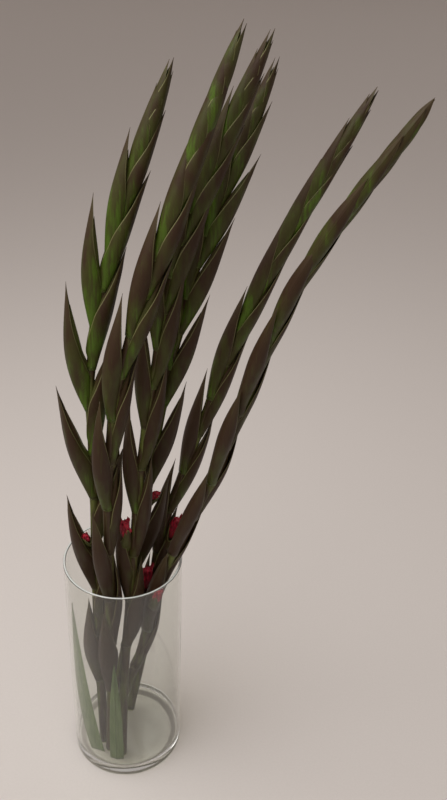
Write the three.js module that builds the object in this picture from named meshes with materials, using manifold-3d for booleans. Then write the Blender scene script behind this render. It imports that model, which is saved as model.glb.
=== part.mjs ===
// Cut gladioli: six flower spikes in tight bud and two cut leaf blades, standing in a glass cylinder vase.
// Millimetres, +Z up. The origin is the centre of the vase's underside.
import * as THREE from "three";
import { mergeVertices } from "three/addons/utils/BufferGeometryUtils.js";
import Module from "manifold-3d";

const wasm = await Module();
wasm.setup();

// ---- Driving dimensions ----
const GAP = 0.35; // between pieces that touch
const FOOT_LIFT = 1.6; // a leaning stem stands on the edge of its cut, so its middle is off the floor
const FACET_ROOM = 1.25; // facets cut inside the circle they go round, so room round a stem is wider

const VASE = { radius: 50, height: 225, wall: 2, floor: 12, heel: 3, lip: 0.9, segments: 40 };

const STEM = { footRadius: 4.2, topRadius: 2.6, sides: 8, steps: 18 };

// A bract is a boat-shaped sheath that clasps the stem and closes round its bud.
const BRACT = {
  longest: 98,
  shortest: 45,
  fullFrom: 10, // from this floret down, counted from the apex, bracts have their full length
  opensOver: 4, // florets between the last closed bract and the first fully open one
  heldStand: 7, // how far it stands off where the vase holds it in
  wall: 1.6,
  halfWidth: 4.8,
  depth: 11,
  swell: 4,
  slimming: 0.45, // how much slimmer than a full-grown floret the topmost one is
  below: 0.16, // share of a floret's length, below its base, that the floret under it still leaves free
};

// The stem's thin end inside the tip: how far up it goes and how thin it gets.
const CORE = { reach: 0.97, endRadius: 0.8, sides: 6, steps: 6 };

// Heights above the table of the points that each stem passes through, between its foot and its apex.
const LEVELS = [120, 225, 320, 415, 510];

// Each spike: the places its stem passes through, from its foot up through LEVELS, and its apex; the
// compass angle of its two ranks of florets at the foot and at the apex, and its girth against BRACT; how
// far the tips of the closed bracts, high on the spike, stand off the stem; for the first rank and the
// other, how far the tips of the open bracts do and from which floret down they are fully open; how fast
// the florets spread out down the spike (mm per floret squared), how many there are, and which rank the
// topmost one is in (+1 along the rank angle).
const SPIKES = [
  { name: "a", line: [[-20, -20], [-21, -20], [-20, -19], [-18, -17], [-17, -13], [1, -7]], apex: [40, 5, 628],
    rank: [8, 8], girth: 1.1, closed: 7, stand: [22, 24], openBy: [12.5, 8],
    crowding: 1.96, florets: 16, topSide: 1 },
  { name: "b", line: [[-13, -29], [-9, -32], [-7, -34], [-5, -35], [5, -33], [33, -27]], apex: [83, -12, 654],
    rank: [85, -8], girth: 1.05, closed: 2.5, stand: [10, 13], openBy: [9, 9.5],
    crowding: 1.84, florets: 17, topSide: -1 },
  { name: "c", line: [[-2, -34], [2, -27], [10, -20], [17, -14], [29, -8], [47, -2]], apex: [101, 10, 646],
    rank: [6, 6], girth: 1, closed: 4.5, stand: [9, 15], openBy: [8, 8],
    crowding: 1.62, florets: 17, topSide: 1 },
  { name: "d", line: [[-20, 15], [0, 8], [13, 8], [25, 10], [41, 14], [64, 21]], apex: [106, 35, 625],
    rank: [-4, -4], girth: 1, closed: 4.5, stand: [15, 10], openBy: [7, 8],
    crowding: 1.68, florets: 17, topSide: 1 },
  { name: "e", line: [[0, 18], [18, 18], [29, 22], [56, 28], [86, 36], [126, 45]], apex: [175, 55, 604],
    rank: [12, 12], girth: 0.88, closed: 4.5, stand: [9, 12], openBy: [11.5, 11.5],
    crowding: 1.64, florets: 17, topSide: -1 },
  { name: "f", line: [[-15, 0], [14, -6], [37, -12], [72, -18], [98, -26], [130, -36]], apex: [192, -50, 623],
    rank: [55, 55], girth: 0.85, closed: 4, stand: [10, 11], openBy: [11.5, 11.5],
    crowding: 1.6, florets: 18, topSide: -1 },
];
const SEPARATE = 6; // the lowest florets of a spike, each a piece of its own

// Florets whose petals already show: spike, floret counted from the apex, how big the showing petals are
// and from which share of the bract's length they start.
const COLOURED = [
  { spike: "a", floret: 13, size: 0.6, from: 0.5 },
  { spike: "a", floret: 14, size: 0.6, from: 0.42 },
  { spike: "c", floret: 15, size: 1, from: 0.66 },
  { spike: "d", floret: 14, size: 0.6, from: 0.72 },
  { spike: "d", floret: 16, size: 1.15, from: 0.66 },
  { spike: "e", floret: 15, size: 1, from: 0.62 },
  { spike: "f", floret: 16, size: 0.8, from: 0.42 },
];
const PETALS = {
  length: 34,
  radius: 4.2,
  thinnest: 0.4,
  front: -1, // the side of the ranks that they come out on
  outOfStem: 4.4, // how far off the stem's skin their middle starts along the rank, and how far it leans out
  lean: 2,
  forward: 3.2, // and the same across the rank
  spread: 3,
};

const LEAVES = [
  { name: "leaf_left", foot: [-24, -31, 12], bend: [-38, -30, 70], tip: [-44.5, -9, 178], width: 13, face: 50 },
  { name: "leaf_front", foot: [-6, -40, 12], bend: [-5, -43, 80], tip: [-4, -46.3, 146], width: 12, face: -95 },
];
const LEAF_THICK = 1.4;

// ---- Materials ----
const paint = (color, roughness, extra = {}) =>
  new THREE.MeshStandardMaterial({ color, roughness, metalness: 0, ...extra });
const MATERIALS = {
  glass: paint("#dfe6e2", 0.03, { transparent: true, opacity: 0.3 }),
  stem: paint("#5f7a33", 0.5),
  bract: paint("#46402c", 0.48),
  tip: paint("#4d5a2c", 0.5),
  petal: paint("#a3122c", 0.55),
  leaf: paint("#7c9460", 0.55),
};

// ---- Geometry helpers ----
// A closed solid from rings of points, each ring going the same way round, with a flat cap at each end.
function loft(rings) {
  const sides = rings[0].length;
  const positions = rings.flat().flatMap((p) => [p.x, p.y, p.z]);
  const index = [];
  for (let r = 0; r + 1 < rings.length; r++) {
    for (let i = 0; i < sides; i++) {
      const a = r * sides + i;
      const b = r * sides + ((i + 1) % sides);
      index.push(a, b, b + sides, a, b + sides, a + sides);
    }
  }
  const last = (rings.length - 1) * sides;
  for (let i = 1; i + 1 < sides; i++) {
    index.push(0, i + 1, i, last, last + i, last + i + 1);
  }
  const geometry = new THREE.BufferGeometry();
  geometry.setAttribute("position", new THREE.Float32BufferAttribute(positions, 3));
  geometry.setIndex(index);
  return geometry;
}

function toSolid(geometry) {
  const bare = new THREE.BufferGeometry();
  bare.setAttribute("position", geometry.getAttribute("position"));
  bare.setIndex(geometry.getIndex());
  const merged = mergeVertices(bare, 1e-4);
  const vertProperties = merged.getAttribute("position").array;
  const triVerts = new Uint32Array(merged.getIndex().array);
  return new wasm.Manifold(new wasm.Mesh({ numProp: 3, vertProperties, triVerts }));
}

function toGeometry(solid) {
  const mesh = solid.getMesh();
  const geometry = new THREE.BufferGeometry();
  geometry.setAttribute("position", new THREE.BufferAttribute(mesh.vertProperties, 3));
  geometry.setIndex(new THREE.BufferAttribute(mesh.triVerts, 1));
  geometry.computeVertexNormals();
  return geometry;
}

const group = new THREE.Group();
function addPiece(name, geometry, material) {
  geometry.computeVertexNormals();
  const mesh = new THREE.Mesh(geometry, material);
  mesh.name = name;
  group.add(mesh);
}

// ---- Vase ----
// One turned profile: up the outside from the heel, over the rounded lip, down the bore, across the floor.
function vaseGeometry() {
  const { radius, height, wall, floor, heel, lip, segments } = VASE;
  const bore = radius - wall;
  const arc = (cx, cz, r, from, to, steps) =>
    Array.from({ length: steps + 1 }, (_, i) => {
      const angle = from + ((to - from) * i) / steps;
      return new THREE.Vector2(cx + r * Math.cos(angle), cz + r * Math.sin(angle));
    });
  const profile = [
    new THREE.Vector2(0, 0),
    ...arc(radius - heel, heel, heel, -Math.PI / 2, 0, 3),
    ...arc(radius - lip, height - lip, lip, 0, Math.PI / 2, 2),
    ...arc(bore + lip, height - lip, lip, Math.PI / 2, Math.PI, 2),
    ...arc(bore - heel, floor + heel, heel, 0, -Math.PI / 2, 3),
    new THREE.Vector2(0, floor),
  ];
  const lathe = new THREE.LatheGeometry(profile, segments);
  lathe.rotateX(Math.PI / 2);
  return lathe;
}

// ---- Spikes ----
// The stem's line: a smooth curve through its foot, the points at LEVELS and its apex.
function axisOf(spike) {
  const heights = [VASE.floor + FOOT_LIFT, ...LEVELS];
  const points = spike.line.map(([x, y], i) => new THREE.Vector3(x, y, heights[i]));
  points.push(new THREE.Vector3(...spike.apex));
  return new THREE.CatmullRomCurve3(points, false, "catmullrom", 0.5);
}

// A point of the stem's line, with its direction, the direction of the ranks and the direction across them.
function frameAt(spike, along) {
  const share = THREE.MathUtils.clamp(along / spike.length, 0, 1);
  const tangent = spike.axis.getTangentAt(share);
  const angle = THREE.MathUtils.degToRad(THREE.MathUtils.lerp(...spike.rank, share));
  const rank = new THREE.Vector3(Math.cos(angle), Math.sin(angle), 0);
  rank.addScaledVector(tangent, -rank.dot(tangent)).normalize();
  const across = new THREE.Vector3().crossVectors(tangent, rank);
  return { point: spike.axis.getPointAt(share), rank, across };
}

const place = (frame, x, y) =>
  frame.point.clone().addScaledVector(frame.rank, x).addScaledVector(frame.across, y);

const stemRadius = (spike, along) =>
  THREE.MathUtils.lerp(STEM.footRadius, STEM.topRadius, along / spike.length);

function roundRing(frame, radius, sides) {
  return Array.from({ length: sides }, (_, i) => {
    const angle = (2 * Math.PI * i) / sides;
    return place(frame, radius * Math.cos(angle), radius * Math.sin(angle));
  });
}

// Floret number k, counted down from 0 at the apex: its side, its length, where it clasps the stem and
// how far its tip stands off the stem.
function floretOf(spike, k) {
  const young = 1 - Math.min(k / BRACT.fullFrom, 1);
  const length = BRACT.longest - (BRACT.longest - BRACT.shortest) * young ** 2;
  const tipDrop = spike.crowding * k ** 2;
  const side = k % 2 === 0 ? spike.topSide : -spike.topSide;
  const base = spike.length - tipDrop - length;
  const inVase = base + length / 2 < VASE.height - VASE.floor;
  const rank = side > 0 ? 0 : 1;
  const closed = Math.min(1 + k, spike.closed);
  const opening = THREE.MathUtils.smoothstep(k, spike.openBy[rank] - BRACT.opensOver, spike.openBy[rank]);
  return {
    side,
    length,
    base,
    stand: inVase ? BRACT.heldStand : THREE.MathUtils.lerp(closed, spike.stand[rank], opening),
    girth: spike.girth * (1 - BRACT.slimming * young ** 2),
  };
}

// Full at a third of the length and pointed at both ends.
const spindle = (u) => Math.sin(Math.PI * u ** 0.6) ** 0.8;

// The oval section of a closed bract at share u of its length: how far its back, its depth and its half
// width reach, with its root wrapped round the stem.
function sectionAt(spike, floret, u) {
  const stem = stemRadius(spike, floret.base + u * floret.length);
  const root = (1 - u) ** 3;
  return {
    back:
      (stem + BRACT.wall) * (1 - u) +
      floret.stand * u +
      BRACT.swell * floret.girth * Math.sin(Math.PI * u ** 0.7),
    depth: (stem + BRACT.wall - GAP) * root + BRACT.depth * floret.girth * spindle(u) + 0.5,
    halfWidth: (stem + BRACT.wall) * root + BRACT.halfWidth * floret.girth * spindle(u) + 0.25,
  };
}

// How far from the stem's line the next floret up in the same rank reaches, y to one side of the rank.
function reachAbove(spike, k, along, y) {
  const above = floretOf(spike, k - 2);
  const u = (along - above.base) / above.length;
  if (u < -BRACT.below || u > 1) return 0;
  const { back, depth, halfWidth } = sectionAt(spike, above, Math.max(u, 0));
  if (Math.abs(y) > halfWidth) return 0;
  return back - (depth / 2) * (1 - Math.sqrt(1 - (y / halfWidth) ** 2)) + 2 * GAP;
}

// One cross-section of a bract. A free one keeps clear of the stem and lies outside the floret above it.
function bractRing(spike, k, u, sides, joined) {
  const floret = floretOf(spike, k);
  const along = floret.base + u * floret.length;
  const frame = frameAt(spike, along);
  const { back, depth, halfWidth } = sectionAt(spike, floret, u);
  const clear = (stemRadius(spike, along) + GAP) * FACET_ROOM;
  return Array.from({ length: sides }, (_, i) => {
    const angle = (2 * Math.PI * i) / sides;
    const y = halfWidth * Math.sin(angle);
    const oval = back - (depth / 2) * (1 - Math.cos(angle));
    const besideStem = Math.sqrt(Math.max(clear ** 2 - y ** 2, 0));
    const overAbove = reachAbove(spike, k, along, y);
    const inner = Math.max(besideStem, overAbove, GAP);
    const skin = 0.6 * (1 + Math.cos(angle)); // what is left of the wall where the inner side is pushed out
    const x = joined ? oval : Math.max(oval, inner + skin);
    return place(frame, floret.side * x, floret.side * y);
  });
}

function bractGeometry(spike, k, { sides, steps, joined }) {
  const rings = Array.from({ length: steps + 1 }, (_, i) => bractRing(spike, k, i / steps, sides, joined));
  return loft(rings);
}

function stemGeometry(spike, top) {
  const rings = Array.from({ length: STEM.steps + 1 }, (_, i) => {
    const along = (top * i) / STEM.steps;
    return roundRing(frameAt(spike, along), stemRadius(spike, along), STEM.sides);
  });
  return loft(rings);
}

// The top of the spike: the stem's thin end with the small bracts packed along it, as one solid.
function tipGeometry(spike, bottom, count) {
  const rings = Array.from({ length: CORE.steps + 1 }, (_, i) => {
    const u = i / CORE.steps;
    const along = bottom + u * (spike.length - bottom) * CORE.reach;
    const radius = THREE.MathUtils.lerp(stemRadius(spike, bottom), CORE.endRadius, u);
    return roundRing(frameAt(spike, along), radius, CORE.sides);
  });
  let solid = toSolid(loft(rings));
  for (let k = 0; k < count; k++) {
    solid = solid.add(toSolid(bractGeometry(spike, k, { sides: 5, steps: 4, joined: true })));
  }
  return toGeometry(solid);
}

// Petals pushing out between a bract's margins: a blunt spindle on the bract's inner, open side.
function petalsGeometry(spike, floret, { size, from }, grow) {
  const steps = 6;
  const rings = Array.from({ length: steps + 1 }, (_, i) => {
    const v = i / steps;
    const along = floret.base + from * floret.length + v * PETALS.length * size;
    const frame = frameAt(spike, along);
    const fullness = Math.sin(Math.PI * (0.12 + 0.8 * v)) ** 0.7;
    const radius = grow + PETALS.thinnest + PETALS.radius * size ** 0.5 * fullness;
    const x = floret.side * (stemRadius(spike, along) + PETALS.outOfStem + PETALS.lean * v);
    const y = PETALS.front * (PETALS.forward + PETALS.spread * v);
    return Array.from({ length: 7 }, (_, j) => {
      const angle = (2 * Math.PI * j) / 7;
      return place(frame, x + radius * Math.cos(angle), y + radius * Math.sin(angle));
    });
  });
  return loft(rings);
}

function addSpike(spike) {
  const { name } = spike;
  const inTip = spike.florets - SEPARATE;
  const tipBottom = floretOf(spike, inTip - 1).base;
  addPiece(`spike_${name}_stem`, stemGeometry(spike, tipBottom - GAP), MATERIALS.stem);
  addPiece(`spike_${name}_tip`, tipGeometry(spike, tipBottom, inTip), MATERIALS.tip);
  for (let k = inTip; k < spike.florets; k++) {
    const floret = floretOf(spike, k);
    const coloured = COLOURED.find((c) => c.spike === name && c.floret === k);
    let geometry = bractGeometry(spike, k, { sides: 8, steps: 6, joined: false });
    if (coloured) {
      const room = toSolid(petalsGeometry(spike, floret, coloured, GAP));
      geometry = toGeometry(toSolid(geometry).subtract(room));
      const petals = petalsGeometry(spike, floret, coloured, 0);
      addPiece(`spike_${name}_petals_${k}`, petals, MATERIALS.petal);
    }
    addPiece(`spike_${name}_bract_${k}`, geometry, MATERIALS.bract);
  }
}

// ---- Leaves ----
// A blade with a lens-shaped section, widest near its cut foot and pointed at its tip.
function leafGeometry({ foot, bend, tip, width, face }) {
  const line = new THREE.QuadraticBezierCurve3(
    new THREE.Vector3(...foot).add(new THREE.Vector3(0, 0, GAP)),
    new THREE.Vector3(...bend),
    new THREE.Vector3(...tip),
  );
  const steps = 7;
  const angle = THREE.MathUtils.degToRad(face);
  const flat = new THREE.Vector3(-Math.sin(angle), Math.cos(angle), 0);
  const rings = Array.from({ length: steps + 1 }, (_, i) => {
    const v = i / steps;
    const tangent = line.getTangentAt(v);
    const wide = flat.clone().addScaledVector(tangent, -flat.dot(tangent)).normalize();
    if (v === 0) wide.setZ(0).normalize();
    const thin = new THREE.Vector3().crossVectors(v === 0 ? new THREE.Vector3(0, 0, 1) : tangent, wide);
    const half = (width / 2) * (1 - v ** 2.5) + 0.4;
    return Array.from({ length: 6 }, (_, j) => {
      const turn = (2 * Math.PI * j) / 6;
      return line
        .getPointAt(v)
        .addScaledVector(wide, half * Math.cos(turn))
        .addScaledVector(thin, (LEAF_THICK / 2) * Math.sin(turn));
    });
  });
  return loft(rings);
}

// ---- Assembly ----
addPiece("vase", vaseGeometry(), MATERIALS.glass);
for (const leaf of LEAVES) addPiece(leaf.name, leafGeometry(leaf), MATERIALS.leaf);
for (const spike of SPIKES) {
  spike.axis = axisOf(spike);
  spike.length = spike.axis.getLength();
  addSpike(spike);
}

export default group;
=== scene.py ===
"""Cut gladioli: six flower spikes in bud and two cut leaf blades, leaning in a glass cylinder vase.

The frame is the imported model's: the origin is the centre of the vase's underside and +Z is up. Shapes are
worked out in millimetres and turned into metres where each mesh is made.
"""
from types import SimpleNamespace

import bmesh
import bpy
import numpy as np
from mathutils import Matrix


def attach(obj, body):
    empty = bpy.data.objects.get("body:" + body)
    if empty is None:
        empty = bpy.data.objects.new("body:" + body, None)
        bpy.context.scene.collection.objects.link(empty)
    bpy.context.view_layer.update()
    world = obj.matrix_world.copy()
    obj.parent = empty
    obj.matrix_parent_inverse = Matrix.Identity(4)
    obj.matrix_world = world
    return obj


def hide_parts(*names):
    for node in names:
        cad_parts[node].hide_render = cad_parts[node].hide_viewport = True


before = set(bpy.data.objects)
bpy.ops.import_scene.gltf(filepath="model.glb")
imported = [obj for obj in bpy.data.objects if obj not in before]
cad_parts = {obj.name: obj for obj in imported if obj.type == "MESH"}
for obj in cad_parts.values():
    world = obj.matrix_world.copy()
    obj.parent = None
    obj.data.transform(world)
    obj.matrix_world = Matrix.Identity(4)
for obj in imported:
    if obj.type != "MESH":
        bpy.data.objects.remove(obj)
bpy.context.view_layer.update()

MM = 0.001

# ---- Driving dimensions, in millimetres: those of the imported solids, and finer ones for the looks ----
VASE = SimpleNamespace(radius=50, height=225, wall=2, floor=12, heel=3, lip=0.9)
BESIDE = 0.3  # how close to each rounded corner of the vase its flat walls have their last ring
FOOT_LIFT = 1.6  # a leaning stem stands on the edge of its cut
STEM = SimpleNamespace(foot_radius=4.2, top_radius=2.6)
BRACT = SimpleNamespace(
    longest=98, shortest=45, depth=12,
    half_width=4.8, margins=1.6,  # half the width of the bud, and what the bract's margins add to it
    full_from=10,  # bracts from this floret down have their full length
    slimming=0.45,  # the share of its girth that the topmost one lacks
    swell=4.8, shut_less=0.45,  # how far the bud pushes the back out, and the share a closed one lacks
    opens_over=4,  # how many florets it takes to go from closed to open
    topmost=0.7, each_below=1.1,  # how far the topmost one stands off, and how much more each one below
    jut=3, jut_from=2, jut_full=6,  # how much further out tips of closed ones reach, coming in over 4 florets
    held_stand=7, held_fuller=1.22,  # stand-off and extra girth of those that the vase holds
    keel=0.7, wave=0.35,  # height of the keel and of the waves of the margins
)
CLASP = 0.8  # how far outside the stem's skin a bract's base lies
LEVELS = [120, 225, 320, 415, 510]  # heights of the points that each stem passes through
SEPARATE = 6  # the lowest florets of a spike, each a node of its own
OLD_FROM = 13  # florets from this one down are as old, and as brown, as they get

# Each spike: the places its stem passes through from its foot up, its apex, the compass angle of its two
# ranks of florets at the foot and at the apex, its girth, how far closed bracts stand off the stem, how far
# the open bracts of each rank do and from which floret down they are open, how fast the florets spread out
# (mm per floret squared), how many there are, which rank the topmost one is in, and how far its bracts have
# turned from green to purple-brown.
SPIKES = [
    dict(name="a", line=[(-20, -20), (-21, -20), (-20, -19), (-18, -17), (-17, -13), (1, -7)],
         apex=(40, 5, 628), rank=(8, 8), girth=1.1, closed=7, stand=(22, 24), open_by=(12.5, 8),
         crowding=1.96, florets=16, top_side=1, dusk=0.3),
    dict(name="b", line=[(-13, -29), (-9, -32), (-7, -34), (-5, -35), (5, -33), (33, -27)],
         apex=(83, -12, 654), rank=(85, -8), girth=1.05, closed=2.5, stand=(10, 13), open_by=(9, 9.5),
         crowding=1.84, florets=17, top_side=-1, dusk=0.6),
    dict(name="c", line=[(-2, -34), (2, -27), (10, -20), (17, -14), (29, -8), (47, -2)],
         apex=(101, 10, 646), rank=(6, 6), girth=1, closed=4.5, stand=(9, 15), open_by=(8, 8),
         crowding=1.62, florets=17, top_side=1, dusk=0.55),
    dict(name="d", line=[(-20, 15), (0, 8), (13, 8), (25, 10), (41, 14), (64, 21)],
         apex=(106, 35, 625), rank=(-4, -4), girth=1, closed=4.5, stand=(15, 10), open_by=(7, 8),
         crowding=1.68, florets=17, top_side=1, dusk=0.5),
    dict(name="e", line=[(0, 18), (18, 18), (29, 22), (56, 28), (86, 36), (126, 45)],
         apex=(175, 55, 604), rank=(12, 12), girth=0.88, closed=4.5, stand=(9, 12), open_by=(11.5, 11.5),
         crowding=1.64, florets=17, top_side=-1, dusk=0.5),
    dict(name="f", line=[(-15, 0), (14, -6), (37, -12), (72, -18), (98, -26), (130, -36)],
         apex=(192, -50, 623), rank=(55, 55), girth=0.85, closed=4, stand=(10, 11), open_by=(11.5, 11.5),
         crowding=1.6, florets=18, top_side=-1, dusk=0.65),
]

# Florets that already show petals: spike, floret counted from the apex, size and the share of the bract that
# they start at.
COLOURED = [("a", 13, 0.35, 0.52), ("a", 14, 0.6, 0.42), ("c", 15, 0.75, 0.64), ("d", 14, 0.35, 0.74),
            ("d", 16, 1.1, 0.72), ("e", 15, 0.9, 0.64), ("f", 16, 0.7, 0.42)]
PETALS = SimpleNamespace(length=34, radius=4.2, fuller=1.15, count=4, apart=1.6, thickness=0.3, front=-1)
BUD_CUP = SimpleNamespace(start=-0.75, rise=1.0, points=0.3, thickness=0.35)

LEAVES = [
    dict(name="leaf_left", foot=(-24, -31, 12), bend=(-36.5, -29, 70), tip=(-44.5, -9, 178),
         width=14, face=68),
    dict(name="leaf_front", foot=(-6, -40, 12), bend=(-5, -43, 80), tip=(-4, -46.3, 146),
         width=12, face=-95),
]

# The pale skin on the vase's lip that is its painted highlight line: the radii of its two faces, where it
# starts and ends round the lip's section, in degrees, and its height as a share of a round one's.
LIP_HIGHLIGHT = SimpleNamespace(outer=1, inner=0.7, start=42, end=138, flatter=0.93)

# How many points each form has along it and round it, or from margin to margin.
GRID = SimpleNamespace(
    curve=60, stem=(90, 24), outer_bract=(40, 27), inner_bract=(26, 24), petal=(24, 25), core=(16, 24),
    leaf=(40, 17), vase=128, wall=13,
)
VEINS = SimpleNamespace(bract=0.9, leaf=1.3)  # how far apart the parallel veins are, in millimetres

random = np.random.default_rng(41)


# ---- Meshes from arrays ----
def quads(rows, columns, closed=False):
    """Corner numbers of the four-sided faces between neighbouring rows and columns of a grid of points."""
    row, column = np.meshgrid(np.arange(rows - 1), np.arange(columns - (not closed)), indexing="ij")
    a = row * columns + column
    b = row * columns + (column + 1) % columns
    return np.stack([a, b, b + columns, a + columns], axis=-1).reshape(-1, 4)


class Form:
    """A mesh being gathered: points in millimetres, faces and a value per point for each named attribute."""

    def __init__(self):
        self.points, self.faces, self.flat, self.values, self.count = [], [], [], {}, 0

    def add(self, points, faces, **values):
        """Points and the faces between them, which are shaded smooth."""
        points = points.reshape(-1, 3)
        self.points.append(points)
        self.faces += (faces + self.count).tolist()
        self.flat += [False] * len(faces)
        for key, value in values.items():
            spread = np.broadcast_to(value, (len(points),)).astype(np.float32)
            self.values.setdefault(key, []).append(spread)
        self.count += len(points)

    def walls(self, faces, start):
        """Flat faces between points that are already there, counted from the point numbered start."""
        self.faces += (faces + start).tolist()
        self.flat += [True] * len(faces)

    def piece(self, name, material, slot, *nodes):
        """The finished piece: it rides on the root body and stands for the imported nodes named."""
        mesh = bpy.data.meshes.new(name)
        mesh.from_pydata((np.vstack(self.points) * MM).tolist(), [], self.faces)
        mesh.polygons.foreach_set("use_smooth", ~np.array(self.flat))
        for key, parts in self.values.items():
            mesh.attributes.new(key, "FLOAT", "POINT").data.foreach_set("value", np.concatenate(parts))
        made = bmesh.new()
        made.from_mesh(mesh)
        bmesh.ops.recalc_face_normals(made, faces=made.faces)
        made.to_mesh(mesh)
        made.free()
        mesh.materials.append(material)
        thing = bpy.data.objects.new(name, mesh)
        bpy.context.scene.collection.objects.link(thing)
        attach(thing, "root")
        if nodes:
            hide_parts(*nodes)


def add_sheet(form, outer, inner, **values):
    """A thin closed wall: two grids of points of one shape, joined all round their edge."""
    rows, columns = outer.shape[:2]
    start = form.count
    size = rows * columns
    faces = quads(rows, columns)
    values = {key: np.broadcast_to(value, (rows, columns)).ravel() for key, value in values.items()}
    form.add(outer, faces, **values)
    form.add(inner, faces[:, ::-1], **values)
    number = np.arange(size).reshape(rows, columns)
    edge = np.concatenate([number[0, :], number[1:, -1], number[-1, -2::-1], number[-2:0:-1, 0]])
    after = np.roll(edge, -1)
    form.walls(np.stack([after, edge, edge + size, after + size], axis=-1), start)


def add_tube(form, rings, **values):
    """A closed body from rings of points, with a point in the middle of each end."""
    rows, columns = rings.shape[:2]
    start = form.count
    middle = np.stack([rings[0].mean(axis=0), rings[-1].mean(axis=0)])
    faces = quads(rows, columns, closed=True)
    values = {key: np.broadcast_to(value, (rows, columns)) for key, value in values.items()}
    form.add(rings, faces, **{key: value.ravel() for key, value in values.items()})
    form.add(middle, np.zeros((0, 4), int), **{key: value[[0, -1], 0] for key, value in values.items()})
    here = np.arange(columns)
    after = (here + 1) % columns
    low, high = rows * columns, rows * columns + 1
    last = (rows - 1) * columns
    form.walls(np.stack([after, here, np.full(columns, low)], axis=-1), start)
    form.walls(np.stack([last + here, last + after, np.full(columns, high)], axis=-1), start)


def smoothstep(x, low, high):
    """From 0 at low to 1 at high, t^2 (3 - 2 t), level at both ends."""
    t = np.clip((x - low) / (high - low), 0, 1)
    return t * t * (3 - 2 * t)


# ---- The spikes' laws ----
def make_spike(values):
    """Adds the stem's line to a spike. Between knots P1 and P2, with P0 and P3 beyond them, it is the
    Catmull-Rom curve P1 + t (P2 - P0) / 2 + t^2 (2 P0 - 5 P1 + 4 P2 - P3) / 2
    + t^3 (3 P1 - P0 - 3 P2 + P3) / 2."""
    spike = SimpleNamespace(**values)
    heights = [VASE.floor + FOOT_LIFT, *LEVELS]
    knots = np.array([(x, y, z) for (x, y), z in zip(spike.line, heights)] + [spike.apex], float)
    knots = np.vstack([2 * knots[0] - knots[1], knots, 2 * knots[-1] - knots[-2]])
    t = np.linspace(0, 1, GRID.curve, endpoint=False)[None, :, None]
    p0, p1, p2, p3 = (knots[i:len(knots) - 3 + i, None, :] for i in range(4))
    cubic = (3 * p1 - p0 - 3 * p2 + p3) / 2
    curve = p1 + t * (p2 - p0) / 2 + t**2 * (2 * p0 - 5 * p1 + 4 * p2 - p3) / 2 + t**3 * cubic
    spike.points = np.vstack([curve.reshape(-1, 3), knots[-2]])
    steps = np.linalg.norm(np.diff(spike.points, axis=0), axis=1)
    spike.along = np.concatenate([[0], np.cumsum(steps)])
    spike.length = spike.along[-1]
    spike.tangents = np.gradient(spike.points, spike.along, axis=0)
    return spike


def read_along(spike, table, along):
    """A table with a row for each point of the stem's line, read at distances along the line."""
    return np.stack([np.interp(along, spike.along, table[:, i]) for i in range(3)], axis=-1)


def unit(vectors):
    """Each vector made 1 long."""
    return vectors / np.linalg.norm(vectors, axis=-1, keepdims=True)


def frames(spike, along):
    """The stem's line at each distance along it, and there the directions of its ranks and across them."""
    share = np.clip(along / spike.length, 0, 1)
    tangent = unit(read_along(spike, spike.tangents, along))
    angle = np.radians(spike.rank[0] + (spike.rank[1] - spike.rank[0]) * share)
    rank = np.stack([np.cos(angle), np.sin(angle), np.zeros_like(angle)], axis=-1)
    rank = unit(rank - (rank * tangent).sum(axis=-1, keepdims=True) * tangent)
    return read_along(spike, spike.points, along), rank, np.cross(tangent, rank)


def place(spike, along, x, y):
    """Points at distance x along the rank and y across it from the stem's line. The three arrays
    broadcast."""
    along, x, y = np.broadcast_arrays(along, x, y)
    point, rank, across = frames(spike, along)
    return point + x[..., None] * rank + y[..., None] * across


def stem_radius(spike, along):
    """The stem tapers evenly from its foot to its apex."""
    return STEM.foot_radius + (STEM.top_radius - STEM.foot_radius) * along / spike.length


def floret_of(spike, k):
    """Floret number k, counted down from 0 at the apex. Its tip is crowding k^2 below the apex, and its
    length and girth fall off with the square of how young it is. Its bracts stand off the stem by the
    spike's closed or open amount, the tips of closed ones jut out a little more, and those held in the vase
    are fuller."""
    young = 1 - min(k / BRACT.full_from, 1)
    length = BRACT.longest - (BRACT.longest - BRACT.shortest) * young**2
    side = spike.top_side if k % 2 == 0 else -spike.top_side
    base = spike.length - spike.crowding * k**2 - length
    rank = 0 if side > 0 else 1
    closed = min(BRACT.topmost + BRACT.each_below * k, spike.closed)
    opening = smoothstep(k, spike.open_by[rank] - BRACT.opens_over, spike.open_by[rank])
    held = base + length / 2 < VASE.height - VASE.floor
    jut = BRACT.jut * smoothstep(k, BRACT.jut_from, BRACT.jut_full) * (1 - opening)
    stand = BRACT.held_stand if held else closed + (spike.stand[rank] - closed) * opening + jut
    fuller = BRACT.held_fuller if held else 1
    return SimpleNamespace(
        side=side, length=length, base=base, stand=stand,
        shut=0 if held else 1 - opening,
        above=spike.crowding * (2 * k - 1) / length,  # share of its length that the next tip is further up
        girth=spike.girth * fuller * (1 - BRACT.slimming * young**2),
        age=min(1, k / OLD_FROM),
    )


def body(u):
    """Narrow where it leaves the stem, fullest at 0.42 of its length and drawn out to the tip:
    (u / 0.42)^1.3 ((1 - u) / 0.58)^1.8."""
    u = np.clip(u, 0, 1)
    return (u / 0.42) ** 1.3 * ((1 - u) / 0.58) ** 1.8


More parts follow.
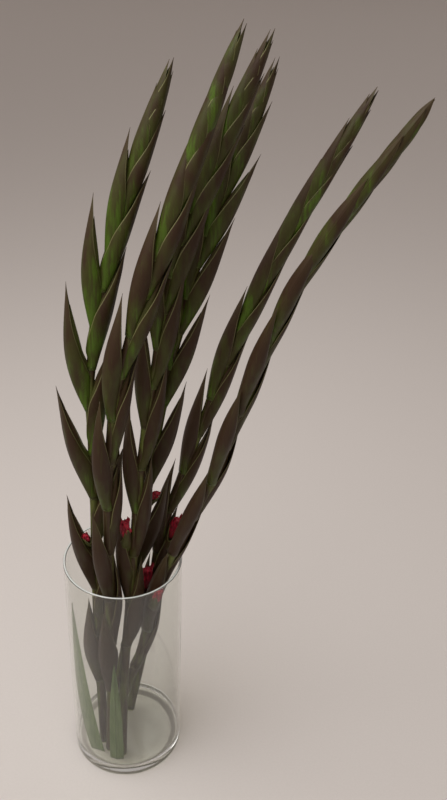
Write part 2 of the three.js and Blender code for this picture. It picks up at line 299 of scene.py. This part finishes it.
def section(spike, bud, u):
    """The oval of a floret at share u of its length: how far its back and its stem side reach along the
    rank, and half its width. Its back is at clasp (1 - u) + stand u + swell body(u). Its base is a circle
    round the stem, and between u = 0.02 and 0.36 it opens into the oval of the bud, depth girth body(u)^0.8
    deep. Up to share until of its length its stem side stays beyond the stem's line: a closed one wraps the
    base of the next floret above, and an open one hugs the stem to about a third. Both let go over the next
    0.22. The half width grows from the stem's to its widest by u = 0.5 and closes to the tip by 1 - (2 u -
    1)^1.7."""
    clasp = stem_radius(spike, bud.base + u * bud.length) + CLASP
    opened = smoothstep(u, 0.02, 0.36)
    swell = BRACT.swell * bud.girth * (1 - BRACT.shut_less * bud.shut)
    back = clasp * (1 - u) + bud.stand * u + swell * body(u)
    depth = 2 * clasp * (1 - opened) + (BRACT.depth * bud.girth * body(u) ** 0.8 + 0.5) * opened
    until = 0.28 + bud.shut * (bud.above - 0.24)
    wraps = smoothstep(u, 0.05, 0.15) * (1 - smoothstep(u, until, until + 0.22))
    front = back - depth
    front = front - wraps * np.maximum(front + (0.35 + 0.65 * bud.shut) * clasp + 0.9 * bud.shut, 0)
    widest = BRACT.half_width * bud.girth + BRACT.margins
    half = clasp + 0.2 + (widest - clasp) * smoothstep(u, 0.08, 0.5)
    half = half * (1 - np.clip(2 * u - 1, 0, 1) ** 1.7) + 0.05
    return back, front, half


# ---- Florets ----
def add_outer_bract(form, spike, bud, tone):
    """A keeled sheath. At share u of its length and angle a round its oval, from -opening to opening, the
    rank is middle(u) + half depth(u) cos a + a keel exp(-(a / 0.3)^2), and across it half width(u) sin a
    with the power 0.8 of its size, which makes the sides flat. It goes right round the stem at its base and
    its margins then draw apart and wave a little, and its tip curls and leans by the bud's own amounts. The
    inner face is the same form less the wall, which thins to a film at the margins."""
    rows, columns = GRID.outer_bract
    u = np.linspace(0, 1, rows)[:, None] ** 0.9
    w = np.linspace(-1, 1, columns)[None, :]
    back, front, half = section(spike, bud, u)
    opening = 178 - 42 * smoothstep(u, 0.1, 0.42) - 42 * smoothstep(u, 0.4, 0.78) - 16 * smoothstep(u, 0.8, 1)
    angle = w * np.radians(opening)
    tapering = np.clip(6 * (1 - u), 0, 1)
    middle, depth = (back + front) / 2, (back - front) / 2
    keel = BRACT.keel * bud.girth * smoothstep(u, 0.1, 0.5) * np.exp(-((angle / 0.3) ** 2)) * tapering
    wave = BRACT.wave * np.sin(9 * u + 40 * tone) * np.abs(w) ** 3 * smoothstep(u, 0.1, 0.3)
    curl = bud.curl * smoothstep(u, 0.7, 1) ** 2
    wall = (0.12 + 0.5 * (1 - np.abs(w) ** 3)) * np.clip(6 * (1 - u) + 0.15, 0, 1)

    def face(less):
        x = middle + np.maximum(depth - less, 0.05) * np.cos(angle) + keel + curl
        flat = np.sign(angle) * np.abs(np.sin(angle)) ** 0.8
        y = np.maximum(half - less, 0.04) * flat + np.sign(w) * wave + bud.lean * u**2
        return place(spike, bud.base + u * bud.length, bud.side * x, bud.side * y)

    reach = np.radians(opening) * (half + depth) / 2
    add_sheet(form, face(0), face(wall), share=u + 0 * w, age=bud.age, tone=tone,
              edge=(1 - np.abs(w)) * reach, skin=w * reach)


def add_inner_bract(form, spike, bud, tone):
    """The inner bract closed round the bud: the outer one's oval made smaller, with two keels on the stem's
    side, 1 + 0.1 exp(-((|a| - 2.5) / 0.25)^2) times its radius, and drawn to a point at share top of the
    length by (1 - t^3)^0.7, where t runs from its foot to there."""
    rows, columns = GRID.inner_bract
    foot, top = 0.04, 0.84
    u = np.linspace(foot, top, rows)[:, None]
    angle = np.linspace(0, 2 * np.pi, columns, endpoint=False)[None, :] - np.pi
    back, front, half = section(spike, bud, u)
    closing = np.clip(1 - ((u - foot) / (top - foot)) ** 3, 0.02, 1) ** 0.7
    middle = (back + front) / 2 - 0.5 * smoothstep(u, 0.15, 0.4)
    depth = (back - front) / 2 * 0.88 * closing
    keels = 1 + 0.1 * np.exp(-(((np.abs(angle) - 2.5) / 0.25) ** 2))
    x = middle + depth * keels * np.cos(angle)
    y = half * 0.8 * closing * keels * np.sin(angle) + bud.lean * u**2
    rings = place(spike, bud.base + u * bud.length, bud.side * x, bud.side * y)
    add_tube(form, rings, share=u + 0 * angle, age=bud.age, tone=tone,
             edge=np.abs(np.abs(angle) - 2.9) * (half + depth) / 2, skin=angle * (half + depth) / 2)


# ---- Materials ----
def linear(colour):
    """An sRGB hex value as linear red, green, blue and alpha."""
    share = np.array([int(colour[i:i + 2], 16) / 255 for i in (1, 3, 5)])
    return (*np.where(share <= 0.04045, share / 12.92, ((share + 0.055) / 1.055) ** 2.4), 1)


def add(tree, kind, inputs=None, out=0, **settings):
    """Adds a node with its settings and gives its output named or numbered out. An input is a value, or a
    socket to link."""
    node = tree.nodes.new(kind)
    for key, value in settings.items():
        setattr(node, key, value)
    for key, value in (inputs or {}).items():
        if isinstance(value, bpy.types.NodeSocket):
            tree.links.new(value, node.inputs[key])
        else:
            node.inputs[key].default_value = value
    return None if out is None else node.outputs[out]


# Inputs 0 to 4 of a map range are its value, the two ends it is read between and the two it gives. Inputs 0,
# 6 and 7 of a colour mix are the share of the second colour and the two colours.
RANGE, MIX, MATH = "ShaderNodeMapRange", "ShaderNodeMix", "ShaderNodeMath"
SMOOTH = dict(interpolation_type="SMOOTHSTEP")
BLEND = dict(data_type="RGBA", out=2)


def begin(name):
    """A new empty node material and its tree."""
    material = bpy.data.materials.new(name)
    material.use_nodes = True
    material.node_tree.nodes.clear()
    return material, material.node_tree


def grain(tree, across, lengthwise, detail=3.0):
    """Noise drawn out along the plant: its grains are across mm wide and lengthwise mm long."""
    where = add(tree, "ShaderNodeTexCoord", out="Object")
    scale = (1 / (across * MM), 1 / (across * MM), 1 / (lengthwise * MM))
    mapped = add(tree, "ShaderNodeMapping", {"Vector": where, "Scale": scale})
    return add(tree, "ShaderNodeTexNoise", {"Vector": mapped, "Scale": 1.0, "Detail": detail})


def surface(tree, colour, roughness, height, relief, **constants):
    """The shader with its colour, its roughness and a bump relief mm high."""
    bump = add(tree, "ShaderNodeBump", {"Height": height, "Strength": 0.5, "Distance": relief * MM})
    inputs = {"Base Color": colour, "Roughness": roughness, "Normal": bump}
    inputs.update({key.replace("_", " "): value for key, value in constants.items()})
    return add(tree, "ShaderNodeBsdfPrincipled", inputs)


def bract_material(name, green, olive, dusk, margin, turning):
    """Bract of a living gladiolus: a leathery leaf with a waxy skin. The eye gets a satin gloss broken by
    fine parallel veins 0.9 mm apart, green at the foot going to purple-brown at the tip, and a thin pale
    papery margin."""
    material, tree = begin(name)
    share, age, tone, edge, skin = (add(tree, "ShaderNodeAttribute", out="Fac", attribute_name=key)
                                    for key in ("share", "age", "tone", "edge", "skin"))
    patches = grain(tree, 9, 30)
    streaks = grain(tree, 1.5, 20)
    # a place has turned brown further towards the tip, down the spike and in patches
    older = add(tree, MATH, {0: age, 1: 3.0}, operation="POWER")
    older = add(tree, MATH, {0: older, 1: 0.55}, operation="MULTIPLY")
    turned = add(tree, MATH, {0: share, 1: older}, operation="ADD")
    turned = add(tree, MATH, {0: patches, 1: 1.6, 2: turned}, operation="MULTIPLY_ADD")
    turned = add(tree, MATH, {0: tone, 1: 0.5, 2: turned}, operation="MULTIPLY_ADD")
    brown = add(tree, RANGE, {0: turned, 1: turning[0], 2: turning[1]}, **SMOOTH)
    mellow = add(tree, MATH, {0: streaks, 1: 1.0, 2: turned}, operation="MULTIPLY_ADD")
    mellow = add(tree, RANGE, {0: mellow, 1: 1.5, 2: 2.0}, **SMOOTH)
    colour = add(tree, MIX, {0: mellow, 6: linear(green), 7: linear(olive)}, **BLEND)
    colour = add(tree, MIX, {0: brown, 6: colour, 7: linear(dusk)}, **BLEND)
    faded = add(tree, RANGE, {0: streaks, 1: 0.55, 2: 0.8, 4: 0.5}, **SMOOTH)
    colour = add(tree, MIX, {0: faded, 6: colour, 7: linear(olive)}, **BLEND)
    scar = add(tree, RANGE, {0: share, 1: 0.005, 2: 0.02, 3: 0.3, 4: 0.0})
    colour = add(tree, MIX, {0: scar, 6: colour, 7: linear(margin)}, **BLEND)
    rim = add(tree, RANGE, {0: edge, 1: 0.25, 2: 0.9, 3: 0.7, 4: 0.0}, **SMOOTH)
    rim = add(tree, RANGE, {0: share, 1: 0.65, 2: 0.95, 3: rim, 4: 0.1})
    colour = add(tree, MIX, {0: rim, 6: colour, 7: linear(margin)}, **BLEND)
    veins = add(tree, MATH, {0: skin, 1: 2 * np.pi / VEINS.bract}, operation="MULTIPLY")
    veins = add(tree, MATH, {0: veins}, operation="SINE")
    height = add(tree, MATH, {0: streaks, 1: 2.5, 2: veins}, operation="MULTIPLY_ADD")
    roughness = add(tree, RANGE, {0: patches, 1: 0.3, 2: 0.7, 3: 0.42, 4: 0.6})
    shader = surface(tree, colour, roughness, height, 0.08, Specular_IOR_Level=0.28)
    add(tree, "ShaderNodeOutputMaterial", {"Surface": shader}, out=None)
    return material


def stem_material():
    """Fresh gladiolus stem: smooth, waxy and faintly ribbed, flushed brown in long clouds. Its cut end
    shows the pale wet pith."""
    material, tree = begin("fresh gladiolus stem")
    along = add(tree, "ShaderNodeAttribute", out="Fac", attribute_name="along")
    clouds = grain(tree, 6, 45)
    ribs = grain(tree, 0.9, 60)
    flushed = add(tree, RANGE, {0: clouds, 1: 0.36, 2: 0.56}, **SMOOTH)
    colour = add(tree, MIX, {0: flushed, 6: linear("#565c26"), 7: linear("#3b2a18")}, **BLEND)
    pale = add(tree, RANGE, {0: ribs, 1: 0.5, 2: 0.75, 4: 0.4}, **SMOOTH)
    colour = add(tree, MIX, {0: pale, 6: colour, 7: linear("#666a3a")}, **BLEND)
    cut_end = add(tree, RANGE, {0: along, 1: 0.3, 2: 1.6, 3: 0.8, 4: 0.0})
    colour = add(tree, MIX, {0: cut_end, 6: colour, 7: linear("#b9c08a")}, **BLEND)
    roughness = add(tree, RANGE, {0: ribs, 1: 0.3, 2: 0.7, 3: 0.42, 4: 0.58})
    shader = surface(tree, colour, roughness, ribs, 0.15, Specular_IOR_Level=0.28)
    add(tree, "ShaderNodeOutputMaterial", {"Surface": shader}, out=None)
    return material


def petal_material():
    """Gladiolus petal: thin, soft and moist, and light goes into it a little. Its crimson has painted shade
    and
    light: darker in the hollows of its bumped folds, brighter on their ridges.
    """
    material, tree = begin("crimson gladiolus petal")
    share = add(tree, "ShaderNodeAttribute", out="Fac", attribute_name="share")
    folds = grain(tree, 1.2, 6)
    # Painted shade and light: darker crimson where the bumped folds are low, brighter where they are high.
    fold_light_and_shade = add(tree, RANGE, {0: folds, 1: 0.38, 2: 0.66}, **SMOOTH)
    colour = add(tree, MIX, {0: fold_light_and_shade, 6: linear("#6c0816"), 7: linear("#bd1c36")}, **BLEND)
    foot = add(tree, RANGE, {0: share, 1: 0.1, 2: 0.45, 3: 0.6, 4: 0.0})
    colour = add(tree, MIX, {0: foot, 6: colour, 7: linear("#4f1416")}, **BLEND)
    roughness = add(tree, RANGE, {0: folds, 1: 0.3, 2: 0.7, 3: 0.45, 4: 0.65})
    shader = surface(tree, colour, roughness, folds, 0.3, Subsurface_Weight=0.2, Subsurface_Scale=0.002)
    add(tree, "ShaderNodeOutputMaterial", {"Surface": shader}, out=None)
    return material


def leaf_material():
    """Gladiolus leaf blade: sword-shaped and stiff, with a grey bloom over green and raised parallel veins
    1.3 mm apart."""
    material, tree = begin("gladiolus leaf blade")
    skin = add(tree, "ShaderNodeAttribute", out="Fac", attribute_name="skin")
    streaks = grain(tree, 1.1, 50)
    clouds = grain(tree, 8, 35)
    bloom = add(tree, RANGE, {0: streaks, 1: 0.35, 2: 0.65}, **SMOOTH)
    colour = add(tree, MIX, {0: bloom, 6: linear("#566a34"), 7: linear("#6a7d48")}, **BLEND)
    shaded = add(tree, RANGE, {0: clouds, 1: 0.45, 2: 0.7, 4: 0.5}, **SMOOTH)
    colour = add(tree, MIX, {0: shaded, 6: colour, 7: linear("#435a26")}, **BLEND)
    off_rib = add(tree, MATH, {0: skin}, operation="ABSOLUTE")
    rib = add(tree, RANGE, {0: off_rib, 1: 0.2, 2: 0.8, 3: 0.4, 4: 0.0}, **SMOOTH)
    colour = add(tree, MIX, {0: rib, 6: colour, 7: linear("#2f4a1c")}, **BLEND)
    veins = add(tree, MATH, {0: skin, 1: 2 * np.pi / VEINS.leaf}, operation="MULTIPLY")
    veins = add(tree, MATH, {0: veins}, operation="SINE")
    height = add(tree, MATH, {0: streaks, 1: 1.5, 2: veins}, operation="MULTIPLY_ADD")
    roughness = add(tree, RANGE, {0: clouds, 1: 0.3, 2: 0.7, 3: 0.45, 4: 0.6})
    shader = surface(tree, colour, roughness, height, 0.12)
    add(tree, "ShaderNodeOutputMaterial", {"Surface": shader}, out=None)
    return material


def glass_material():
    """Blown soda-lime glass: clear, with faint wipe marks and a slow waviness. Lamps shine through it with a
    small loss, so what stands in it isn't in its shadow."""
    material, tree = begin("soda-lime glass")
    wiped = grain(tree, 14, 60)
    roughness = add(tree, RANGE, {0: wiped, 1: 0.4, 2: 0.75, 3: 0.0, 4: 0.04})
    wavy = grain(tree, 25, 60, detail=0)
    clear = surface(tree, linear("#f1f2ef"), roughness, wavy, 0.05, Transmission_Weight=1.0, IOR=1.5)
    lit_through = add(tree, "ShaderNodeBsdfTransparent", {"Color": linear("#e4e4df")})
    shadow = add(tree, "ShaderNodeLightPath", out="Is Shadow Ray")
    shader = add(tree, "ShaderNodeMixShader", {0: shadow, 1: clear, 2: lit_through})
    add(tree, "ShaderNodeOutputMaterial", {"Surface": shader}, out=None)
    return material


def lip_highlight_material():
    """Painted highlight: a pale grey, opaque skin on the lip that stands for the bright line of light along
    the rim.
    A noise 0.4 mm across speckles its paleness, roughness and bump."""
    material, tree = begin("painted lip highlight")
    # Painted highlight: the lip's skin is pale grey so that the rim shows a bright line.
    highlight_speckle = grain(tree, 0.4, 0.4)
    colour = add(tree, RANGE, {0: highlight_speckle, 1: 0.35, 2: 0.65})
    colour = add(tree, MIX, {0: colour, 6: linear("#b9bcb6"), 7: linear("#dcded9")}, **BLEND)
    roughness = add(tree, RANGE, {0: highlight_speckle, 1: 0.3, 2: 0.7, 3: 0.3, 4: 0.45})
    shader = surface(tree, colour, roughness, highlight_speckle, 0.03, IOR=1.5)
    add(tree, "ShaderNodeOutputMaterial", {"Surface": shader}, out=None)
    return material


def paper_material():
    """Seamless matt studio paper, which takes soft shadows and shows no gloss."""
    material, tree = begin("matt studio paper")
    fibres = grain(tree, 2, 2)
    mottled = add(tree, RANGE, {0: fibres, 1: 0.3, 2: 0.7})
    colour = add(tree, MIX, {0: mottled, 6: linear("#cfc8c2"), 7: linear("#d2cbc5")}, **BLEND)
    roughness = add(tree, RANGE, {0: fibres, 1: 0.3, 2: 0.7, 3: 0.9, 4: 0.95})
    shader = surface(tree, colour, roughness, fibres, 0.02)
    add(tree, "ShaderNodeOutputMaterial", {"Surface": shader}, out=None)
    return material


# ---- Pieces ----
def turned(profile):
    """A profile of (radius, height) points carried round the Z axis."""
    angle = np.linspace(0, 2 * np.pi, GRID.vase, endpoint=False)[None, :]
    radius, height = profile[:, :1], profile[:, 1:]
    return np.stack([radius * np.cos(angle), radius * np.sin(angle), height + 0 * angle], axis=-1)


def arc(centre, radius, start, end, steps):
    """Points on a circle from one angle to the other, in degrees: centre + radius (cos a, sin a)."""
    angle = np.radians(np.linspace(start, end, steps + 1))
    return np.stack([centre[0] + radius * np.cos(angle), centre[1] + radius * np.sin(angle)], axis=-1)


def straight(radius, start, end):
    """Points up or down a straight wall. A ring close beside each rounded end keeps the wall's shading
    flat."""
    way = np.sign(end - start) * BESIDE
    between = np.linspace(start, end, GRID.wall + 1)[1:-1]
    height = np.concatenate([[start + way], between, [end - way]])
    return np.stack([np.full_like(height, radius), height], axis=-1)


def make_vase(material):
    """One turned profile: under the base, round the heel, up the outside, over the lip, down the bore, over
    the floor. The base is a little hollow underneath, so that it stands on a ring, and its floor rises in
    the middle."""
    radius, height, heel, lip = VASE.radius, VASE.height, VASE.heel, VASE.lip
    floor, bore = VASE.floor, radius - VASE.wall
    profile = np.vstack([
        [(0.4, 1.6), (20, 1.4), (36, 0.6), (40.7, 0.02), (41, 0), (radius - heel - BESIDE, 0)],
        arc((radius - heel, heel), heel, -90, 0, 8),
        straight(radius, heel, height - lip),
        arc((radius - lip, height - lip), lip, 0, 90, 5),
        arc((bore + lip, height - lip), lip, 90, 180, 5),
        straight(bore, height - lip, floor + heel),
        arc((bore - heel, floor + heel), heel, 0, -90, 8),
        [(bore - heel - BESIDE, floor), (34, floor + 0.1), (18, floor + 0.5), (0.4, floor + 0.6)],
    ])
    form = Form()
    add_tube(form, turned(profile))
    form.piece("vase_glass", material, "glass", "vase")


def make_lip_highlight(material):
    """A pale skin on the lip, a painted highlight for the bright line along the rim, from 42 to 138 degrees
    round the lip's section and all round the vase: out along one arc and back along a smaller one, with the
    last ring joined to the first."""
    middle, drop = VASE.radius - VASE.wall / 2, VASE.height - VASE.lip
    outer = arc((middle, drop), LIP_HIGHLIGHT.outer, LIP_HIGHLIGHT.start, LIP_HIGHLIGHT.end, 8)
    inner = arc((middle, drop), LIP_HIGHLIGHT.inner, LIP_HIGHLIGHT.end, LIP_HIGHLIGHT.start, 8)
    profile = np.vstack([outer, inner])
    profile[:, 1] = drop + (profile[:, 1] - drop) * LIP_HIGHLIGHT.flatter
    rings = turned(profile)
    rows, columns = rings.shape[:2]
    last = (rows - 1) * columns
    here = np.arange(columns)
    after = (here + 1) % columns
    closing = np.stack([last + here, last + after, after, here], axis=-1)
    faces = np.vstack([quads(rows, columns, closed=True), closing])
    form = Form()
    form.add(rings, faces)
    form.piece("vase_ground_lip", material, "glass")


def make_stem(spike, top, material):
    """A round stem along the spike's line, radius(s) (1 + 0.03 sin(5 a + s / 60) + 0.02 sin 9 a), with 0.35
    mm more where each bract joins it and its cut end 0.25 mm flared."""
    rows, columns = GRID.stem
    s = np.linspace(0, top, rows)[:, None]
    angle = np.linspace(0, 2 * np.pi, columns, endpoint=False)[None, :]
    radius = stem_radius(spike, s) * (1 + 0.03 * np.sin(5 * angle + s / 60) + 0.02 * np.sin(9 * angle))
    for k in range(spike.florets):
        radius = radius + 0.35 * np.exp(-(((s - floret_of(spike, k).base) / 5) ** 2))
    radius = radius + 0.25 * np.exp(-((s / 2) ** 2))
    form = Form()
    add_tube(form, place(spike, s, radius * np.cos(angle), radius * np.sin(angle)), along=s + 0 * angle)
    form.piece(f"spike_{spike.name}_cut_stem", material, "stem", f"spike_{spike.name}_stem")


def make_petals(spike, bud, size, start, node, materials):
    """Four furled petals and a core, crumpled where they push out of the bud, in a green cup that is open
    at the top. At share v of its height and share w from its middle to a margin, at angle a round the bud,
    a petal's radius is R (sin(pi (0.15 + 0.55 v))^0.7 (0.85 + 0.1 w) + ruffle). The ruffle is the sum of
    three sines of a and v and grows towards the top, and the petals' tops end at different heights in a
    ragged line. The core's radius is 0.7 R sin(pi (0.12 + 0.83 u))^0.6 with folds round it. The cup's
    radius goes from 0.4 R at its foot to 1.1 R, and it ends in two points."""
    petals, cup = Form(), Form()
    v = np.linspace(0, 1, GRID.petal[0])[:, None]
    w = np.linspace(-1, 1, GRID.petal[1])[None, :]
    radius = PETALS.radius * size**0.45 * PETALS.fuller
    phase = random.uniform(0, 2 * np.pi, 8)

    def spot(height, r, angle):
        """Points round the bud's middle, which leans away from the stem and to the front as it rises."""
        along = bud.base + start * bud.length + (0.1 + 0.9 * height) * PETALS.length * size
        x = bud.side * (stem_radius(spike, along) + 1.6 + 3 * size + 2 * height) + r * np.cos(angle)
        return place(spike, along, x, PETALS.front * (3.2 + 3 * height) + r * np.sin(angle))

    for i in range(PETALS.count):
        angle = i * PETALS.apart + 1.3 * w + 0.6 * v
        ruffle = 0.2 * np.sin(4 * angle + phase[i] + 3 * v)
        ruffle = ruffle + 0.14 * np.sin(9 * angle - 4 * v + phase[i + PETALS.count])
        ruffle = (ruffle + 0.09 * np.sin(17 * angle + 6 * v + i)) * smoothstep(v, 0.25, 0.8)
        r = radius * (np.sin(np.pi * (0.15 + 0.55 * v)) ** 0.7 * (0.85 + 0.1 * w) + ruffle)
        height = v * (1 - 0.1 * i - 0.2 * w**2 - 0.14 * np.abs(np.sin(5 * w + phase[i])))
        inside = spot(height, r - PETALS.thickness, angle)
        add_sheet(petals, spot(height, r, angle), inside, share=v + 0 * w)
    u = np.linspace(0, 0.8, GRID.core[0])[:, None]
    angle = np.linspace(0, 2 * np.pi, GRID.core[1], endpoint=False)[None, :]
    folds = 1 + 0.16 * np.sin(3 * angle + 4 * u + phase[0]) + 0.08 * np.sin(8 * angle - 9 * u)
    core = radius * 0.7 * np.sin(np.pi * (0.12 + 0.83 * u)) ** 0.6 * folds
    add_tube(petals, spot(u, core, angle), share=u + 0 * angle)
    petals.piece(node.replace("petals", "furled_petals"), materials["petal"], "petal", node)

    angle = np.pi * w
    height = BUD_CUP.start + v * (BUD_CUP.rise + BUD_CUP.points * np.cos(2 * angle + phase[1]))
    r = radius * (0.4 + 0.7 * smoothstep(v, 0, 0.6))
    inside = spot(height, r - BUD_CUP.thickness, angle)
    add_sheet(cup, spot(height, r, angle), inside, share=0.5 * v + 0 * w, age=bud.age, tone=0.1,
              edge=(1 - v) * PETALS.length * size + 0 * w, skin=radius * angle + 0 * v)
    cup.piece(node.replace("petals", "bud_cup"), materials["inner"], "bract")


def make_leaf(values, material):
    """A sword-shaped blade: its midline is the quadratic Bezier (1 - v)^2 foot + 2 v (1 - v) bend + v^2
    tip, its half width falls as 1 - v^2.5, and it has a shallow fold and a thicker midrib."""
    foot, bend, tip = (np.array(values[key], float) for key in ("foot", "bend", "tip"))
    foot = foot + np.array([0, 0, 0.6])  # its cut end rests on the dome of the vase's floor
    v = np.linspace(0, 1, GRID.leaf[0])[:, None, None]
    w = np.linspace(-1, 1, GRID.leaf[1])[None, :, None]
    line = (1 - v) ** 2 * foot + 2 * v * (1 - v) * bend + v**2 * tip
    tangent = unit(2 * (1 - v) * (bend - foot) + 2 * v * (tip - bend))
    angle = np.radians(values["face"])
    flat = np.array([-np.sin(angle), np.cos(angle), 0])
    wide = unit(flat - (tangent * flat).sum(axis=-1, keepdims=True) * tangent)
    thin = np.cross(tangent, wide)
    half = values["width"] / 2 * (1 - v**2.5) + 0.2
    fold = 0.9 * np.abs(w) * (1 - v) - 0.3
    wall = 0.15 + 0.3 * (1 - np.abs(w)) + 0.35 * np.exp(-((w / 0.12) ** 2))
    outer = line + wide * half * w + thin * (fold + wall)
    inner = line + wide * half * w + thin * (fold - wall)
    form = Form()
    add_sheet(form, outer, inner, skin=(half * w)[..., 0], share=(v + 0 * w)[..., 0])
    form.piece(values["name"] + "_blade", material, "leaf", values["name"])


def make_spike_pieces(values, materials):
    """A spike: its stem, then its florets from the apex down. The young ones at the tip are gathered in two
    pieces, outer and inner bracts, and each of the lowest six has its own. Every bract has its own tone,
    curl, lean and stand-off, drawn at random."""
    spike = make_spike(values)
    name = f"spike_{spike.name}"
    in_tip = spike.florets - SEPARATE
    make_stem(spike, spike.length * 0.97, materials["stem"])
    young_outer, young_inner = Form(), Form()
    for k in range(spike.florets):
        bud = floret_of(spike, k)
        tone = np.clip(spike.dusk + random.uniform(-0.22, 0.22), 0, 1)
        bud.stand = bud.stand * random.uniform(0.92, 1.06)
        bud.curl = random.uniform(-1.5, 1.2) * bud.age
        bud.lean = random.uniform(-2, 2) * bud.age
        if k < in_tip:
            add_outer_bract(young_outer, spike, bud, tone)
            add_inner_bract(young_inner, spike, bud, tone)
            continue
        node = f"{name}_bract_{k}"
        outer, inner = Form(), Form()
        add_outer_bract(outer, spike, bud, tone)
        add_inner_bract(inner, spike, bud, tone)
        outer.piece(f"{name}_outer_bract_{k}", materials["outer"], "bract", node)
        inner.piece(f"{name}_inner_bract_{k}", materials["inner"], "bract", node)
        for owner, number, size, start in COLOURED:
            if (owner, number) == (spike.name, k):
                make_petals(spike, bud, size, start, f"{name}_petals_{k}", materials)
    young_outer.piece(f"{name}_young_bracts", materials["outer"], "young_bract", f"{name}_tip")
    young_inner.piece(f"{name}_young_inner_bracts", materials["inner"], "young_bract", f"{name}_tip")


def make_stage(material):
    """A sheet of paper that lies flat under the vase and sweeps up far behind: z = 0, then a quarter circle
    of radius 1 m, then straight up to 4 m."""
    bend = np.linspace(0, np.pi / 2, 16)
    y = np.concatenate([[-2.5, -0.5, 0.5, 3], 5 + np.sin(bend), [6]])
    z = np.concatenate([[0, 0, 0, 0], 1 - np.cos(bend), [4]])
    x = np.linspace(-4, 4, 9)
    points = np.stack([x[None, :] + 0 * y[:, None], y[:, None] + 0 * x, z[:, None] + 0 * x], axis=-1)
    mesh = bpy.data.meshes.new("studio_paper")
    mesh.from_pydata(points.reshape(-1, 3).tolist(), [], quads(*points.shape[:2]).tolist())
    mesh.polygons.foreach_set("use_smooth", np.ones(len(mesh.polygons), bool))
    mesh.materials.append(material)
    paper = bpy.data.objects.new("studio_paper", mesh)
    bpy.context.scene.collection.objects.link(paper)


# ---- Camera and light ----
def make_camera():
    """Stands in front and above, looking 32 degrees down with a slight roll."""
    data = bpy.data.cameras.new("camera")
    data.lens = 40.5
    data.sensor_width = 36
    camera = bpy.data.objects.new("camera", data)
    pitch, roll = np.radians(32), np.radians(2.33)
    forward = np.array([0, np.cos(pitch), -np.sin(pitch)])
    right = np.array([1.0, 0, 0])
    up = np.cross(right, forward)
    rolled_right = np.cos(roll) * right + np.sin(roll) * up
    rolled_up = np.cos(roll) * up - np.sin(roll) * right
    place_at = np.array([0.0795, -0.573, 0.743])
    matrix = np.eye(4)
    matrix[:3, 0], matrix[:3, 1], matrix[:3, 2] = rolled_right, rolled_up, -forward
    matrix[:3, 3] = place_at
    camera.matrix_world = Matrix(matrix.tolist())
    bpy.context.scene.collection.objects.link(camera)
    bpy.context.scene.camera = camera


def make_light(name, place_at, aim, size, power, spread, colour):
    """A round soft light at a place, turned to a point: its size in metres, power in watts, spread in
    degrees."""
    data = bpy.data.lights.new(name, "AREA")
    data.shape = "DISK"
    data.size = size
    data.energy = power
    data.spread = np.radians(spread)
    data.color = linear(colour)[:3]
    light = bpy.data.objects.new(name, data)
    direction = unit(np.array(aim, float) - np.array(place_at, float))
    side = unit(np.cross(direction, [0, 0, 1]))
    matrix = np.eye(4)
    matrix[:3, 0], matrix[:3, 1], matrix[:3, 2] = side, np.cross(side, direction), -direction
    matrix[:3, 3] = place_at
    light.matrix_world = Matrix(matrix.tolist())
    bpy.context.scene.collection.objects.link(light)


def make_world():
    """Even warm-grey light from all round, as from the walls of a pale room."""
    world = bpy.data.worlds.new("soft room light")
    world.use_nodes = True
    background = world.node_tree.nodes["Background"]
    background.inputs["Color"].default_value = linear("#b1aaa7")
    background.inputs["Strength"].default_value = 1.0
    bpy.context.scene.world = world


# ---- Assembly ----
make_camera()
make_world()
make_light("soft key", (-0.38, -0.25, 1.25), (0.2, 0.3, 0), 1.4, 6.2, 110, "#ffffff")
make_stage(paper_material())
materials = {
    "outer": bract_material("outer bract, leathery and waxy", green="#485f15", olive="#3c3c13",
                            dusk="#34210f", margin="#7b784e", turning=(1.38, 1.95)),
    "inner": bract_material("inner bract, thin and green", green="#52641c", olive="#45471a",
                            dusk="#3a2810", margin="#848450", turning=(1.5, 2.1)),
    "stem": stem_material(),
    "petal": petal_material(),
}
make_vase(glass_material())
# The lip's pale skin is a painted highlight, a bright line along the rim.
make_lip_highlight(lip_highlight_material())
leaf_skin = leaf_material()
for leaf in LEAVES:
    make_leaf(leaf, leaf_skin)
for spike_values in SPIKES:
    make_spike_pieces(spike_values, materials)

# Light that the glass guides inside its wall turns back many times before it comes out.
bpy.context.scene.cycles.max_bounces = 24
bpy.context.scene.cycles.glossy_bounces = 20
bpy.context.scene.cycles.transmission_bounces = 24
bpy.context.scene.view_settings.view_transform = "Standard"
